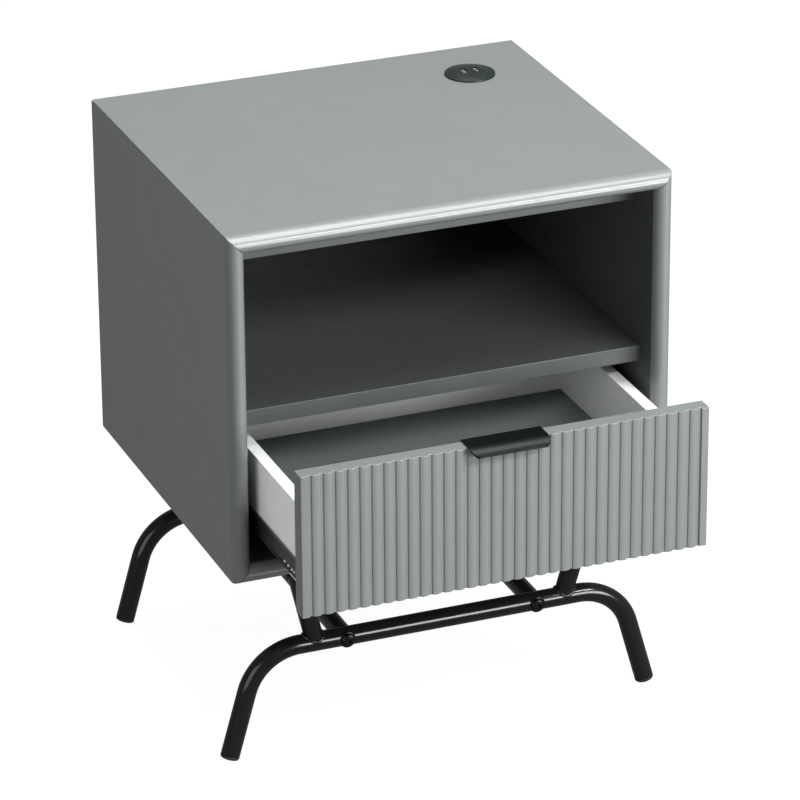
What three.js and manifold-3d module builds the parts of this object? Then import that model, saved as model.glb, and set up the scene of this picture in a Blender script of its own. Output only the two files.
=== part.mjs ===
// Side table with one drawer: a mitred cabinet with an open niche over a reeded drawer, a round USB outlet in
// its top, and a base of two bent tubes joined by cross bars.
// Millimetres, +Z up. The front faces -Y and +X is on its right. The origin is on the floor, under the middle
// of the whole footprint with the drawer standing open by REST_OPENING.
import * as THREE from 'three';
import { mergeVertices } from 'three/addons/utils/BufferGeometryUtils.js';
import Module from 'manifold-3d';

const wasm = await Module();
wasm.setup();

// ---- driving dimensions -------------------------------------------------------------------------------
const WIDTH = 450;
const DEPTH = 400;
const HEIGHT = 560;
const CABINET_HEIGHT = 354;
const BOARD = 18;                    // cabinet boards
const NOSE = 14;                     // depth of the rounded front edge of a cabinet board
const MITRE_GAP = 0.2;
const REBATE = { width: 9, depth: 6.5 };
const BACK_THICKNESS = 6;
const SHELF = { top: 371.5, thickness: 16, front: -366.4 };
const TOP_RAIL = { front: -346, thickness: 16, height: 26 };

const REST_OPENING = 140;
const FRONT = { width: 410, height: 144, bottom: 229, thickness: 17, closedRear: -370 };
const REED = { count: 33, pitch: 11.86, width: 8.6, depth: 2.6, crown: 1.4, endBevel: 0.8 };
const BOX = { outerWidth: 395, board: 12, bottom: 254, height: 78, length: 300 };
const FLOOR = { thickness: 5, up: 10, groove: 5 };

const HANDLE = { width: 80, sheet: 1.6, tab: 14, bendStart: -17.3, reach: -31, drop: 6.5, corner: 10 };
const HANDLE_SCREW = { x: 28, down: 8, shank: 2, head: 3.8, headHeight: 0.8, length: 12 };

const SLIDE = {
  length: 300, cabinetHeight: 27, drawerHeight: 17, sheet: 1.2, centre: 262.5, setBack: 2, wallGap: 1.6,
  curl: 2.4, hole: 1.7, holeDown: 4, holesAt: [28, 38, 48, 150, 262],
};
const CAGE = { length: 70, gap: 2 };

const TUBE = { radius: 9.5, wall: 1.5 };
const RAIL_HEIGHT = 111;
const RAIL_INSET = { front: -357, rear: -38 };
const FOOT_X = 220.5;
const SPLAY = Math.atan(0.285);      // leg angle from the vertical
const BEND_RADIUS = 57;
const UPRIGHT = { footX: 130.4, topX: 154.2, lean: 7.5, spare: 20 };
const PLATE = { width: 34, length: 61, thickness: 3, screwSpacing: 38 };
const PLATE_SCREW = { shank: 2, head: 4, headHeight: 2.2, length: 12 };
const BAR_X = 99.7;
const BOLT = {
  shank: 3, head: 7, crown: 4.9, shoulder: 2.8, headHeight: 4, socket: 2.3, socketDepth: 2.4, length: 38,
};
const BAR_NUT = { radius: 7.6, length: 12, inset: 2 };
const GLIDE = { thickness: 3, stem: 7.6, stemLength: 10 };

const USB = { x: 147.5, y: -76.2, flange: 25.5, barrel: 22, wall: 2, dome: 5, below: 30 };
const USB_RIM = { low: 1.2, high: 2.4, slope: 2, crownRadius: 13, crown: 4.4 };
const PORT = { spacing: 13, width: 5.6, length: 13, top: 3, depth: 12, wall: 0.4, tongue: [1.8, 11, 12] };
const USB_NUT = { outer: 26, height: 7 };
const USB_BOARD = { side: 26, thickness: 1.6 };

const FIT = 0.3;                     // running gap between pieces that would otherwise share a curved face
const CLEAR = 1;                     // how far a cutting tool passes a face
const SMOOTH = 18;                   // sides of a full circle
const USB_SIDES = 24;
const PILOT_SIDES = 10;              // sides of a screw hole
const SCREW_SIDES = 12;
const HEAD_SIDES = 16;               // sides of a bolt head or a round nut
const BEND_STEPS = 8;                // straight stretches in a leg's bend

// Total depth on the floor: the cabinet's rear to the handle's lip with the drawer at rest.
const REST_REAR = FRONT.closedRear - REST_OPENING;
const TOTAL_DEPTH = -(REST_REAR + HANDLE.reach);

// ---- materials ----------------------------------------------------------------------------------------
function finish(color, roughness, metalness) {
  return new THREE.MeshStandardMaterial({ color, roughness, metalness });
}

const SAGE = () => finish('#a3aba5', 0.42, 0);
const WHITE = () => finish('#e9ebe9', 0.5, 0);
const LINEN = () => finish('#575d58', 0.7, 0);
const BLACK_STEEL = () => finish('#1b1e1d', 0.38, 0.3);
const BLACK_PLASTIC = () => finish('#2d3634', 0.45, 0);
const ZINC = () => finish('#b9bcbd', 0.35, 1);
const GREEN_BOARD = () => finish('#1f5a3a', 0.6, 0);

// ---- solids -------------------------------------------------------------------------------------------
function box(x, y, z) {
  const geometry = new THREE.BoxGeometry(x[1] - x[0], y[1] - y[0], z[1] - z[0]);
  return geometry.translate((x[0] + x[1]) / 2, (y[0] + y[1]) / 2, (z[0] + z[1]) / 2);
}

// A round bar along Z, from z[0] to z[1].
function rod(radius, z, sides = SMOOTH) {
  const geometry = new THREE.CylinderGeometry(radius, radius, z[1] - z[0], sides);
  return geometry.rotateX(Math.PI / 2).translate(0, 0, (z[0] + z[1]) / 2);
}

function outline(points) {
  return new THREE.Shape(points.map(([x, y]) => new THREE.Vector2(x, y)));
}

function extrude(shape, range, curveSegments) {
  const depth = range[1] - range[0];
  const geometry = new THREE.ExtrudeGeometry(shape, { depth, bevelEnabled: false, curveSegments });
  return geometry.translate(0, 0, range[0]);
}

const AXIS = { x: new THREE.Vector3(1, 0, 0), y: new THREE.Vector3(0, 1, 0), z: new THREE.Vector3(0, 0, 1) };
const YZ_ALONG_X = new THREE.Matrix4().makeBasis(AXIS.y, AXIS.z, AXIS.x);
const XZ_ALONG_Y = new THREE.Matrix4().makeBasis(AXIS.x, AXIS.z, AXIS.y.clone().negate());

// An outline drawn in Y and Z, extruded along X; and one drawn in X and Z, extruded along Y.
function extrudeX(shape, x, curveSegments = 8) {
  return extrude(shape, x, curveSegments).applyMatrix4(YZ_ALONG_X);
}

function extrudeY(shape, y, curveSegments = 8) {
  return extrude(shape, [-y[1], -y[0]], curveSegments).applyMatrix4(XZ_ALONG_Y);
}

function lathe(profile, sides = SMOOTH) {
  const geometry = new THREE.LatheGeometry(profile.map(([r, z]) => new THREE.Vector2(r, z)), sides);
  return geometry.rotateX(Math.PI / 2);
}

function toSolid(geometry) {
  const bare = geometry.clone();
  bare.deleteAttribute('normal');
  bare.deleteAttribute('uv');
  const merged = mergeVertices(bare, 1e-4);
  const vertProperties = Float32Array.from(merged.attributes.position.array);
  const triVerts = Uint32Array.from(merged.index.array);
  return new wasm.Manifold(new wasm.Mesh({ numProp: 3, vertProperties, triVerts }));
}

function toGeometry(solid) {
  const { vertProperties, triVerts } = solid.getMesh();
  const geometry = new THREE.BufferGeometry();
  geometry.setAttribute('position', new THREE.BufferAttribute(vertProperties, 3));
  geometry.setIndex(new THREE.BufferAttribute(triVerts, 1));
  return geometry;
}

function cut(geometry, tools) {
  return toGeometry(tools.reduce((solid, tool) => solid.subtract(toSolid(tool)), toSolid(geometry)));
}

function common(a, b) {
  return toGeometry(toSolid(a).intersect(toSolid(b)));
}

const alongY = (geometry) => geometry.rotateX(Math.PI / 2);

// ---- assembly -----------------------------------------------------------------------------------------
const table = new THREE.Group();

function group(parent, x = 0, y = 0, z = 0) {
  const made = new THREE.Group();
  made.position.set(x, y, z);
  parent.add(made);
  return made;
}

function add(parent, name, geometry, material, place = [0, 0, 0], turn = [0, 0, 0]) {
  const mesh = new THREE.Mesh(geometry, material);
  mesh.name = name;
  mesh.position.set(...place);
  mesh.rotation.set(...turn);
  parent.add(mesh);
}

// Everything below is placed from the cabinet's rear face, y = 0, and the floor, z = 0.
const fromRear = group(table, 0, TOTAL_DEPTH / 2, 0);
const SIDES = [['left', -1], ['right', 1]];
const ENDS = [['front', RAIL_INSET.front, -1], ['rear', RAIL_INSET.rear, 1]];
const CABINET_BOTTOM = HEIGHT - CABINET_HEIGHT;
const INNER_X = WIDTH / 2 - BOARD;

// ---- cabinet ------------------------------------------------------------------------------------------
// A board lying along X with its outer face at z = 0: rounded nose, rear rebate, and both ends mitred.
function mitredBoard(length) {
  const section = new THREE.Shape();
  section.moveTo(0, 0);
  section.lineTo(NOSE - DEPTH, 0);
  section.absellipse(NOSE - DEPTH, -BOARD / 2, NOSE, BOARD / 2, Math.PI / 2, Math.PI * 1.5, false);
  section.lineTo(-REBATE.depth, -BOARD);
  section.lineTo(-REBATE.depth, REBATE.width - BOARD);
  section.lineTo(0, REBATE.width - BOARD);
  const geometry = extrudeX(section, [-1, 1], 12);
  const position = geometry.attributes.position;
  for (let i = 0; i < position.count; i += 1) {
    position.setX(i, Math.sign(position.getX(i)) * (length / 2 - MITRE_GAP + position.getZ(i)));
  }
  return geometry;
}

function usbHole() {
  return rod(USB.barrel + FIT, [-BOARD - CLEAR, CLEAR], USB_SIDES).translate(USB.x, USB.y, 0);
}

function plateCentres() {
  return ENDS.flatMap(([end, y, lean]) => SIDES.map(([side, s]) => (
    { name: `${end}_${side}`, x: s * UPRIGHT.topX, y: y + lean * UPRIGHT.lean })));
}

function plateScrews() {
  return plateCentres().flatMap(({ name, x, y }) => [['a', -1], ['b', 1]].map(([letter, way]) => (
    { name: `${name}_${letter}`, x, y: y + way * PLATE.screwSpacing / 2 })));
}

function buildCabinet(parent) {
  add(parent, 'top_panel', cut(mitredBoard(WIDTH), [usbHole()]), SAGE(), [0, 0, HEIGHT]);
  const pilots = plateScrews().map(({ x, y }) => (
    rod(PLATE_SCREW.shank + FIT, [-CLEAR, PLATE_SCREW.length], PILOT_SIDES).translate(x, y, 0)));
  const lower = mitredBoard(WIDTH).rotateY(Math.PI);
  add(parent, 'bottom_panel', cut(lower, pilots), SAGE(), [0, 0, CABINET_BOTTOM]);
  const middle = HEIGHT - CABINET_HEIGHT / 2;
  SIDES.forEach(([side, s]) => {
    const place = [s * WIDTH / 2, 0, middle];
    add(parent, `side_panel_${side}`, mitredBoard(CABINET_HEIGHT), SAGE(), place, [0, s * Math.PI / 2, 0]);
  });
  const backX = WIDTH / 2 - BOARD + REBATE.width - FIT;
  const backZ = [CABINET_BOTTOM + BOARD - REBATE.width + FIT, HEIGHT - BOARD + REBATE.width - FIT];
  add(parent, 'back_panel', box([-backX, backX], [-BACK_THICKNESS, 0], backZ), SAGE());
  const shelfZ = [SHELF.top - SHELF.thickness, SHELF.top];
  add(parent, 'shelf_panel', box([-INNER_X, INNER_X], [SHELF.front, -REBATE.depth], shelfZ), SAGE());
  const railZ = [HEIGHT - BOARD - TOP_RAIL.height, HEIGHT - BOARD];
  const railY = [TOP_RAIL.front, TOP_RAIL.front + TOP_RAIL.thickness];
  add(parent, 'top_front_rail', box([-INNER_X, INNER_X], railY, railZ), SAGE());
}

// ---- USB outlet ---------------------------------------------------------------------------------------
function portPlaces() {
  return SIDES.map(([side, s]) => ({ side, x: s * PORT.spacing / 2 }));
}

function usbHousing() {
  const inner = USB.barrel - USB.wall;
  const shell = lathe([
    [0, 0], [inner, 0], [inner, -USB.below], [USB.barrel, -USB.below], [USB.barrel, 0], [USB.flange, 0],
    [USB.flange, USB_RIM.low], [USB.flange - USB_RIM.slope, USB_RIM.high],
    [USB_RIM.crownRadius, USB_RIM.crown], [0, USB.dome],
  ], USB_SIDES);
  const half = { x: PORT.width / 2, y: PORT.length / 2 };
  const openings = portPlaces().map(({ x }) => (
    box([x - half.x, x + half.x], [-half.y, half.y], [-CLEAR, USB.dome + CLEAR])));
  return cut(shell, openings);
}

function usbPort() {
  const half = { x: PORT.width / 2 - FIT, y: PORT.length / 2 - FIT };
  const outside = box([-half.x, half.x], [-half.y, half.y], [-PORT.depth, PORT.top]);
  const inside = { x: half.x - PORT.wall, y: half.y - PORT.wall };
  const hollow = [PORT.wall - PORT.depth, PORT.top + CLEAR];
  return cut(outside, [box([-inside.x, inside.x], [-inside.y, inside.y], hollow)]);
}

function buildUsb(parent) {
  const outlet = group(parent, USB.x, USB.y, HEIGHT);
  add(outlet, 'usb_housing', usbHousing(), BLACK_PLASTIC(), [0, 0, 0]);
  const bore = USB.barrel + FIT;
  const nutTop = -BOARD;
  const nutBottom = nutTop - USB_NUT.height;
  const nut = lathe([
    [bore, nutTop], [bore, nutBottom], [USB_NUT.outer, nutBottom], [USB_NUT.outer, nutTop], [bore, nutTop],
  ], USB_SIDES);
  add(outlet, 'usb_nut', nut, BLACK_PLASTIC());
  const edge = USB_BOARD.side / 2;
  const boardTop = -PORT.depth - FIT;
  const circuit = box([-edge, edge], [-edge, edge], [boardTop - USB_BOARD.thickness, boardTop]);
  add(outlet, 'usb_circuit_board', circuit, GREEN_BOARD());
  const [tongueX, tongueY, tongueZ] = PORT.tongue;
  portPlaces().forEach(({ side, x }) => {
    const bottom = PORT.wall - PORT.depth;
    add(outlet, `usb_port_${side}`, usbPort(), ZINC(), [x, 0, 0]);
    const tongue = box([-tongueX / 2, tongueX / 2], [-tongueY / 2, tongueY / 2], [bottom, bottom + tongueZ]);
    add(outlet, `usb_tongue_${side}`, tongue, WHITE(), [x - PORT.width / 4 + FIT, 0, 0]);
  });
}

// ---- drawer -------------------------------------------------------------------------------------------
// Section of the drawer front in X and Y: a flat rear, and reeds with crowned tops, straight flanks and flat
// channels between them.
function reededSection() {
  const half = FRONT.width / 2;
  const face = -FRONT.thickness;
  const channel = face + REED.depth;
  const edge = REED.endBevel;
  const radius = (REED.width ** 2 / 4 + REED.crown ** 2) / (2 * REED.crown);
  const sweep = Math.asin(REED.width / 2 / radius);
  const down = -Math.PI / 2;
  const section = new THREE.Shape();
  section.moveTo(half, 0);
  section.lineTo(-half, 0);
  section.lineTo(-half, face + edge);
  section.lineTo(edge - half, face);
  const landEnd = half - ((REED.count - 1) / 2 * REED.pitch + REED.pitch - REED.width / 2);
  section.lineTo(-half + landEnd, face);
  section.lineTo(-half + landEnd, channel);
  for (let i = 0; i < REED.count; i += 1) {
    const x = (i - (REED.count - 1) / 2) * REED.pitch;
    section.lineTo(x - REED.width / 2, channel);
    section.absarc(x, face + radius, radius, down - sweep, down + sweep, false);
    section.lineTo(x + REED.width / 2, channel);
  }
  section.lineTo(half - landEnd, channel);
  section.lineTo(half - landEnd, face);
  section.lineTo(half - edge, face);
  section.lineTo(half, face + edge);
  return section;
}

// Section of a drawer-box board: outer face at 0, inner face at -board, with the floor's groove in it.
function groovedSection() {
  const top = BOX.bottom + BOX.height;
  const low = BOX.bottom + FLOOR.up - FIT / 2;
  const high = low + FLOOR.thickness + FIT;
  const deep = FLOOR.groove - BOX.board;
  return [[0, BOX.bottom], [0, top], [-BOX.board, top], [-BOX.board, high], [deep, high], [deep, low],
    [-BOX.board, low], [-BOX.board, BOX.bottom]];
}

function handleProfile() {
  const top = HANDLE.sheet;
  const run = HANDLE.bendStart - HANDLE.reach;
  const drop = HANDLE.drop;
  const radius = (run ** 2 + drop ** 2) / (2 * drop);
  const sweep = Math.asin(run / radius);
  const up = Math.PI / 2;
  const centreY = HANDLE.bendStart;
  const centreZ = top - radius;
  const profile = new THREE.Shape();
  profile.moveTo(FIT, -HANDLE.tab);
  profile.lineTo(FIT + HANDLE.sheet, -HANDLE.tab);
  profile.lineTo(FIT + HANDLE.sheet, top);
  profile.lineTo(HANDLE.bendStart, top);
  profile.absarc(centreY, centreZ, radius, up, up + sweep, false);
  profile.absarc(centreY, centreZ, radius - HANDLE.sheet, up + sweep, up, true);
  profile.lineTo(FIT, 0);
  return profile;
}

// Seen from above: square at the rear and rounded at the two corners of the lip.
function handlePlan() {
  const half = HANDLE.width / 2;
  const r = HANDLE.corner;
  const lip = HANDLE.reach;
  const rear = FIT + HANDLE.sheet + CLEAR;
  const plan = new THREE.Shape();
  plan.moveTo(half, rear);
  plan.lineTo(-half, rear);
  plan.lineTo(-half, lip + r);
  plan.absarc(r - half, lip + r, r, Math.PI, Math.PI * 1.5, false);
  plan.absarc(half - r, lip + r, r, -Math.PI / 2, 0, false);
  return plan;
}

function screw({ shank, head, headHeight, length }) {
  const profile = [[0, 0], [head, 0], [head, headHeight], [shank, headHeight], [shank, length], [0, length]];
  return lathe(profile, SCREW_SIDES);
}

function buildDrawer(parent) {
  const drawer = group(parent, 0, REST_REAR, 0);
  const frontTop = FRONT.bottom + FRONT.height;
  const screwZ = frontTop - HANDLE_SCREW.down;
  const pilots = SIDES.map(([, s]) => (
    alongY(rod(HANDLE_SCREW.shank + FIT, [-CLEAR, HANDLE_SCREW.length], PILOT_SIDES))
      .translate(s * HANDLE_SCREW.x, 0, screwZ)));
  add(drawer, 'drawer_front', cut(extrude(reededSection(), [FRONT.bottom, frontTop], 5), pilots), SAGE());

  const half = BOX.outerWidth / 2;
  SIDES.forEach(([side, s]) => {
    const section = outline(groovedSection().map(([across, z]) => [s * across, z]));
    add(drawer, `drawer_side_${side}`, extrudeY(section, [0, BOX.length]), WHITE(), [s * half, 0, 0]);
  });
  const inner = half - BOX.board;
  const back = extrudeX(outline(groovedSection()), [-inner, inner]);
  add(drawer, 'drawer_back', back, WHITE(), [0, BOX.length, 0]);
  const floorX = inner + FLOOR.groove - FIT;
  const floorZ = [BOX.bottom + FLOOR.up, BOX.bottom + FLOOR.up + FLOOR.thickness];
  const floorY = [0, BOX.length - BOX.board + FLOOR.groove - FIT];
  add(drawer, 'drawer_floor', box([-floorX, floorX], floorY, floorZ), LINEN());

  const handle = group(drawer, 0, 0, frontTop);
  const bent = extrudeX(handleProfile(), [-HANDLE.width / 2, HANDLE.width / 2], 8);
  const plan = extrude(handlePlan(), [-HANDLE.tab - CLEAR, HANDLE.sheet + CLEAR], 8);
  const rounded = common(bent, plan);
  const through = HANDLE.sheet + FIT + CLEAR;
  const holes = SIDES.map(([, s]) => (
    alongY(rod(HANDLE_SCREW.shank + FIT, [-through, through], PILOT_SIDES))
      .translate(s * HANDLE_SCREW.x, 0, -HANDLE_SCREW.down)));
  add(handle, 'drawer_handle', cut(rounded, holes), BLACK_STEEL());
  const seat = 2 * FIT + HANDLE.sheet + HANDLE_SCREW.headHeight;
  SIDES.forEach(([side, s]) => {
    const place = [s * HANDLE_SCREW.x, seat, -HANDLE_SCREW.down];
    add(handle, `handle_screw_${side}`, alongY(screw(HANDLE_SCREW)), BLACK_STEEL(), place);
  });
  return drawer;
}

// ---- slides -------------------------------------------------------------------------------------------
// A channel in X and Z with its web against x = 0 and its flanges reaching to x = depth.
function channelSection(depth, height, web, flange, s) {
  const h = height / 2;
  const points = [[0, -h], [depth, -h], [depth, flange - h], [web, flange - h], [web, h - flange],
    [depth, h - flange], [depth, h], [0, h]];
  return outline(points.map(([x, z]) => [s * x, z]));
}

function buildSlides(parent, drawer) {
  const gap = INNER_X - BOX.outerWidth / 2;
  const closedFront = FRONT.closedRear + SLIDE.setBack;
  const cageCentre = closedFront + SLIDE.length / 2 - REST_OPENING / 2;
  const screwHoles = SLIDE.holesAt.map((y) => (
    rod(SLIDE.hole, [-gap, gap], PILOT_SIDES).rotateY(Math.PI / 2).translate(0, y, -SLIDE.holeDown)));
  const cageHeight = SLIDE.cabinetHeight - 2 * SLIDE.sheet - 2 * FIT;
  const cageFlange = (cageHeight - SLIDE.drawerHeight) / 2 - FIT;
  const { sheet } = SLIDE;
  SIDES.forEach(([side, s]) => {
    const wall = [s * INNER_X, 0, SLIDE.centre];
    const outer = channelSection(gap - SLIDE.wallGap, SLIDE.cabinetHeight, sheet, sheet, -s);
    const outerY = [closedFront, closedFront + SLIDE.length];
    add(parent, `slide_cabinet_member_${side}`, extrudeY(outer, outerY), BLACK_STEEL(), wall);

    const inner = channelSection(SLIDE.curl, SLIDE.drawerHeight, sheet, sheet, s);
    const innerY = [SLIDE.setBack, SLIDE.length - SLIDE.setBack];
    const member = cut(extrudeY(inner, innerY), screwHoles);
    const boxWall = [s * BOX.outerWidth / 2, 0, SLIDE.centre];
    add(drawer, `slide_drawer_member_${side}`, member, BLACK_STEEL(), boxWall);

    const cage = channelSection(gap - CAGE.gap, cageHeight, sheet, cageFlange, -s);
    const place = [s * (INNER_X - sheet - FIT), cageCentre, SLIDE.centre];
    add(parent, `slide_cage_${side}`, extrudeY(cage, [-CAGE.length / 2, CAGE.length / 2]), ZINC(), place);
  });
}

// ---- base ---------------------------------------------------------------------------------------------
// A tube swept through stations in the XZ plane, each a point and the direction of travel.
function sweepTube(stations, radius, bore) {
  const ring = stations.length;
  const vertices = [];
  const faces = [];
  [radius, bore].forEach((r) => stations.forEach(({ point, heading }) => {
    const normal = new THREE.Vector3().crossVectors(heading, AXIS.y);
    for (let k = 0; k < SMOOTH; k += 1) {
      const angle = 2 * Math.PI * k / SMOOTH;
      const vertex = point.clone().addScaledVector(AXIS.y, r * Math.cos(angle));
      vertices.push(...vertex.addScaledVector(normal, r * Math.sin(angle)).toArray());
    }
  }));
  const at = (wall, i, k) => (wall * ring + i) * SMOOTH + (k % SMOOTH);
  const quad = (a, b, c, d) => faces.push(a, b, c, a, c, d);
  for (let k = 0; k < SMOOTH; k += 1) {
    for (let i = 0; i < ring - 1; i += 1) {
      quad(at(0, i, k), at(0, i, k + 1), at(0, i + 1, k + 1), at(0, i + 1, k));
      quad(at(1, i, k + 1), at(1, i, k), at(1, i + 1, k), at(1, i + 1, k + 1));
    }
    quad(at(1, 0, k), at(1, 0, k + 1), at(0, 0, k + 1), at(0, 0, k));
    quad(at(0, ring - 1, k), at(0, ring - 1, k + 1), at(1, ring - 1, k + 1), at(1, ring - 1, k));
  }
  const geometry = new THREE.BufferGeometry();
  geometry.setAttribute('position', new THREE.BufferAttribute(new Float32Array(vertices), 3));
  geometry.setIndex(faces);
  return geometry;
}

// Where the leg's axis meets the rail's, and the foot's end of the tube above its glide.
const CORNER_X = FOOT_X - Math.tan(SPLAY) * (RAIL_HEIGHT - TUBE.radius * Math.sin(SPLAY));
const FOOT_Z = TUBE.radius * Math.sin(SPLAY);
const LEG_DOWN = new THREE.Vector3(Math.sin(SPLAY), 0, -Math.cos(SPLAY));

function legStations() {
  const turn = Math.PI / 2 - SPLAY;
  const tangent = BEND_RADIUS * Math.tan(turn / 2);
  const centre = new THREE.Vector3(CORNER_X - tangent, 0, RAIL_HEIGHT - BEND_RADIUS);
  const half = [];
  for (let i = 0; i <= BEND_STEPS; i += 1) {
    const angle = turn * i / BEND_STEPS;
    const out = new THREE.Vector3(Math.sin(angle), 0, Math.cos(angle));
    const heading = new THREE.Vector3(Math.cos(angle), 0, -Math.sin(angle));
    half.push({ point: centre.clone().addScaledVector(out, BEND_RADIUS), heading });
  }
  const end = new THREE.Vector3(FOOT_X, 0, FOOT_Z).addScaledVector(LEG_DOWN, -GLIDE.thickness - FIT);
  half.push({ point: end, heading: LEG_DOWN.clone() });
  const mirrored = half.map(({ point, heading }) => ({
    point: new THREE.Vector3(-point.x, 0, point.z),
    heading: new THREE.Vector3(heading.x, 0, -heading.z),
  })).reverse();
  return [...mirrored, ...half];
}

// An upright from the rail's axis to its plate, coped over the rail and cut level under the plate.
function upright(s, lean) {
  const top = CABINET_BOTTOM - PLATE.thickness;
  const foot = new THREE.Vector3(0, 0, RAIL_HEIGHT);
  const head = new THREE.Vector3(s * (UPRIGHT.topX - UPRIGHT.footX), lean * UPRIGHT.lean, CABINET_BOTTOM);
  const axis = head.sub(foot);
  const length = axis.length() + UPRIGHT.spare;
  const bore = rod(TUBE.radius - TUBE.wall, [-CLEAR, length + CLEAR]);
  const hollow = cut(rod(TUBE.radius, [0, length]), [bore]);
  const turned = new THREE.Quaternion().setFromUnitVectors(AXIS.z, axis.normalize());
  hollow.applyQuaternion(turned).translate(0, 0, RAIL_HEIGHT);
  const wide = 3 * UPRIGHT.spare;
  const rail = rod(TUBE.radius + FIT, [-wide, wide]).rotateY(Math.PI / 2).translate(0, 0, RAIL_HEIGHT);
  const above = box([-wide, wide], [-wide, wide], [top - FIT, top + wide]);
  return cut(hollow, [rail, above]);
}

function glide() {
  const stemTop = GLIDE.thickness + GLIDE.stemLength;
  return lathe([[0, 0], [TUBE.radius, 0], [TUBE.radius, GLIDE.thickness], [GLIDE.stem, GLIDE.thickness],
    [GLIDE.stem, stemTop], [0, stemTop]]);
}

function buttonBolt() {
  const end = BOLT.headHeight + BOLT.length;
  const body = lathe([
    [0, 0], [BOLT.crown, 0], [BOLT.head, BOLT.shoulder], [BOLT.head, BOLT.headHeight],
    [BOLT.shank, BOLT.headHeight], [BOLT.shank, end], [0, end],
  ], HEAD_SIDES);
  return cut(body, [rod(BOLT.socket, [-CLEAR, BOLT.socketDepth], 6)]);
}

function barNut() {
  const bore = rod(BOLT.shank + FIT, [-CLEAR, BAR_NUT.length + CLEAR], PILOT_SIDES);
  return cut(rod(BAR_NUT.radius, [0, BAR_NUT.length], HEAD_SIDES), [bore]);
}

function buildBase(parent) {
  const headClear = BOLT.headHeight + TUBE.radius + FIT;
  const nutNear = TUBE.radius + FIT + BAR_NUT.inset;
  const across = 2 * TUBE.radius;
  ENDS.forEach(([end, y, lean]) => {
    const boltHoles = SIDES.map(([, s]) => (
      alongY(rod(BOLT.shank + FIT, [-across, across], PILOT_SIDES)).translate(s * BAR_X, 0, RAIL_HEIGHT)));
    const tube = cut(sweepTube(legStations(), TUBE.radius, TUBE.radius - TUBE.wall), boltHoles);
    add(parent, `${end}_leg_tube`, tube, BLACK_STEEL(), [0, y, 0]);
    SIDES.forEach(([side, s]) => {
      const x = s * BAR_X;
      const inward = lean * Math.PI / 2;
      add(parent, `${end}_upright_${side}`, upright(s, lean), BLACK_STEEL(), [s * UPRIGHT.footX, y, 0]);
      const foot = [s * FOOT_X, y, FOOT_Z];
      add(parent, `${end}_glide_${side}`, glide(), BLACK_PLASTIC(), foot, [0, -s * SPLAY, 0]);
      const bolt = buttonBolt().rotateX(inward);
      add(parent, `${end}_bolt_${side}`, bolt, BLACK_STEEL(), [x, y + lean * headClear, RAIL_HEIGHT]);
      const nut = barNut().rotateX(inward);
      add(parent, `${end}_bar_nut_${side}`, nut, ZINC(), [x, y - lean * nutNear, RAIL_HEIGHT]);
    });
  });

  const span = RAIL_INSET.rear - RAIL_INSET.front;
  const bore = rod(TUBE.radius - TUBE.wall, [-CLEAR, span + CLEAR]);
  const rails = [0, span].map((z) => (
    rod(TUBE.radius + FIT, [-across, across]).rotateY(Math.PI / 2).translate(0, 0, z)));
  const bar = cut(rod(TUBE.radius, [0, span]), [bore, ...rails]);
  SIDES.forEach(([side, s]) => {
    const turned = bar.clone().rotateX(-Math.PI / 2);
    add(parent, `cross_bar_${side}`, turned, BLACK_STEEL(), [s * BAR_X, RAIL_INSET.front, RAIL_HEIGHT]);
  });

  plateCentres().forEach(({ name, x, y }) => {
    const w = PLATE.width / 2;
    const l = PLATE.length / 2;
    const through = [-PLATE.thickness - CLEAR, CLEAR];
    const holes = [-1, 1].map((way) => (
      rod(PLATE_SCREW.shank + FIT, through, PILOT_SIDES).translate(0, way * PLATE.screwSpacing / 2, 0)));
    const plate = cut(box([-w, w], [-l, l], [-PLATE.thickness, 0]), holes);
    add(parent, `mounting_plate_${name}`, plate, BLACK_STEEL(), [x, y, CABINET_BOTTOM]);
  });
  plateScrews().forEach(({ name, x, y }) => {
    const z = CABINET_BOTTOM - PLATE.thickness - FIT - PLATE_SCREW.headHeight;
    add(parent, `plate_screw_${name}`, screw(PLATE_SCREW), ZINC(), [x, y, z]);
  });
}

buildCabinet(fromRear);
buildUsb(fromRear);
const drawerGroup = buildDrawer(fromRear);
buildSlides(fromRear, drawerGroup);
buildBase(fromRear);

export default table;
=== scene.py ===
import math

import bpy
from mathutils import Matrix, Vector


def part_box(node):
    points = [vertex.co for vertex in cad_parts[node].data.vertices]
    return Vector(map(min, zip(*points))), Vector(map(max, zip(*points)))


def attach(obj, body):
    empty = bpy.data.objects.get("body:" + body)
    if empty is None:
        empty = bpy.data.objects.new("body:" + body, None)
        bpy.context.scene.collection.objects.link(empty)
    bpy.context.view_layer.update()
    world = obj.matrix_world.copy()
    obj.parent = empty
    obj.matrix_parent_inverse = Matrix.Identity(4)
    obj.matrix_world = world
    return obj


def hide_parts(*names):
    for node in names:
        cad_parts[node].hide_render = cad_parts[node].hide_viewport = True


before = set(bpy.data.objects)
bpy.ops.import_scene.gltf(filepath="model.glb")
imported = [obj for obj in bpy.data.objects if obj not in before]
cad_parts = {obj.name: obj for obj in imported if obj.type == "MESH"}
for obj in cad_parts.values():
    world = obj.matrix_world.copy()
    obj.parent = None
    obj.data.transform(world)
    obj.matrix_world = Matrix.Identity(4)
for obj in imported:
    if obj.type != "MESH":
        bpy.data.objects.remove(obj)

MM = 0.001
TAU = 2 * math.pi
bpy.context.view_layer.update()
SIDES = (("left", -1), ("right", 1))
ROOT = "frame"
DRAWER = "drawer"

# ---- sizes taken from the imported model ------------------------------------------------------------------


def extent(node):
    """Lowest and highest corner of a CAD node, in millimetres."""
    low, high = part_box(node)
    return low / MM, high / MM


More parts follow.
